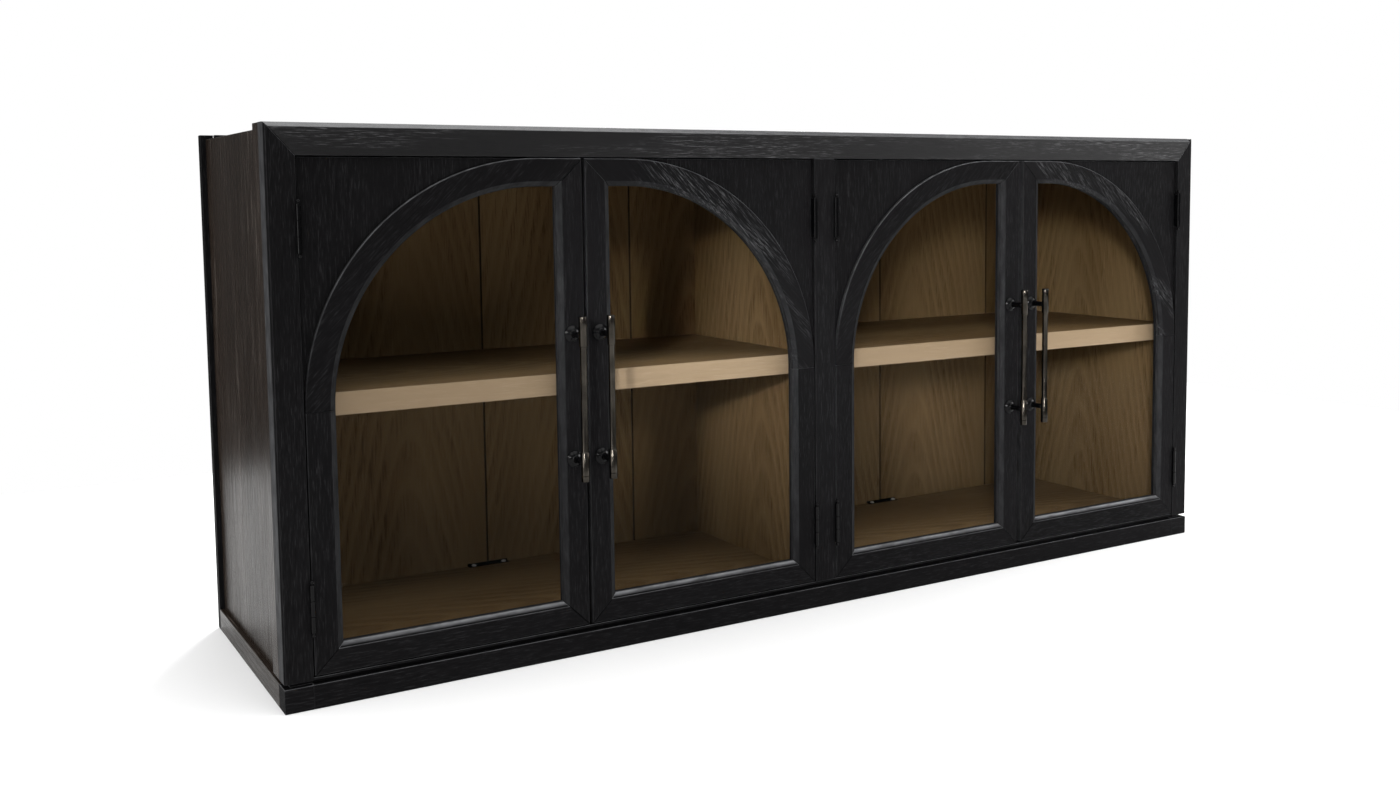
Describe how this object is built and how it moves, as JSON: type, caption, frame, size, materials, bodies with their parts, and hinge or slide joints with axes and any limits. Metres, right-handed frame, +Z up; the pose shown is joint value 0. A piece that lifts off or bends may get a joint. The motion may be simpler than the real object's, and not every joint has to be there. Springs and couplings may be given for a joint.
{
  "type": "media cabinet",
  "caption": "Low black oak media cabinet with pairs of glazed doors whose curved rails form arches, brown oak inside with thick shelves, and a plinth base.",
  "frame": {"origin": "on the floor, under the middle of the whole object's box, pulls included", "axes": "+X along the width towards the viewer's right as seen from the front, +Y towards the back, +Z up; the doors face -Y"},
  "size_m": [1.829, 0.5012, 0.813],
  "materials": {
    "black_oak": "black wire-brushed oak, satin",
    "end_oak": "black-stained oak veneer, worn grey grain",
    "brown_oak": "brown oak veneer, satin",
    "lipping": "light oak edge, satin",
    "glass": "clear, polished",
    "pewter": "brushed pewter",
    "black_steel": "gloss black"
  },
  "bodies": {
    "case": {"top_rail": "black_oak", "bottom_rail": "black_oak", "centre_stile": "black_oak", "left_stile": "black_oak", "right_stile": "black_oak", "left_end_stile": "end_oak", "right_end_stile": "end_oak", "left_end_panel": "end_oak", "right_end_panel": "end_oak", "left_rear_post": "black_oak", "right_rear_post": "black_oak", "top_board": "brown_oak", "bottom_board": "brown_oak", "centre_partition": "brown_oak", "back_panel": "brown_oak", "left_shelf": "brown_oak", "right_shelf": "brown_oak", "left_shelf_edge": "lipping", "right_shelf_edge": "lipping", "plinth_front": "black_oak", "left_plinth_block": "black_oak", "right_plinth_block": "black_oak", "left_plinth_side": "end_oak", "right_plinth_side": "end_oak"},
    "left_outer_door": {"left_outer_hinge_stile": "black_oak", "left_outer_bottom_rail": "black_oak", "left_outer_meeting_stile": "black_oak", "left_outer_arch_rail": "black_oak", "left_outer_spandrel": "black_oak", "left_outer_glass": "glass", "left_outer_pull": "pewter", "left_outer_upper_hinge": "black_steel", "left_outer_lower_hinge": "black_steel"},
    "left_inner_door": {"left_inner_hinge_stile": "black_oak", "left_inner_bottom_rail": "black_oak", "left_inner_meeting_stile": "black_oak", "left_inner_arch_rail": "black_oak", "left_inner_spandrel": "black_oak", "left_inner_glass": "glass", "left_inner_pull": "pewter", "left_inner_upper_hinge": "black_steel", "left_inner_lower_hinge": "black_steel"},
    "right_inner_door": {"right_inner_hinge_stile": "black_oak", "right_inner_bottom_rail": "black_oak", "right_inner_meeting_stile": "black_oak", "right_inner_arch_rail": "black_oak", "right_inner_spandrel": "black_oak", "right_inner_glass": "glass", "right_inner_pull": "pewter", "right_inner_upper_hinge": "black_steel", "right_inner_lower_hinge": "black_steel"},
    "right_outer_door": {"right_outer_hinge_stile": "black_oak", "right_outer_bottom_rail": "black_oak", "right_outer_meeting_stile": "black_oak", "right_outer_arch_rail": "black_oak", "right_outer_spandrel": "black_oak", "right_outer_glass": "glass", "right_outer_pull": "pewter", "right_outer_upper_hinge": "black_steel", "right_outer_lower_hinge": "black_steel"}
  },
  "joints": [
    {"name": "left_outer_door_hinge", "type": "hinge", "parent": "case", "child": "left_outer_door", "pos_m": [-0.873, -0.20997, 0.406], "axis": [0, 0, -1], "range_deg": [0, 110]},
    {"name": "left_inner_door_hinge", "type": "hinge", "parent": "case", "child": "left_inner_door", "pos_m": [-0.0215, -0.20997, 0.406], "axis": [0, 0, 1], "range_deg": [0, 85]},
    {"name": "right_inner_door_hinge", "type": "hinge", "parent": "case", "child": "right_inner_door", "pos_m": [0.0215, -0.20997, 0.406], "axis": [0, 0, -1], "range_deg": [0, 85]},
    {"name": "right_outer_door_hinge", "type": "hinge", "parent": "case", "child": "right_outer_door", "pos_m": [0.873, -0.20997, 0.406], "axis": [0, 0, 1], "range_deg": [0, 110]}
  ]
}
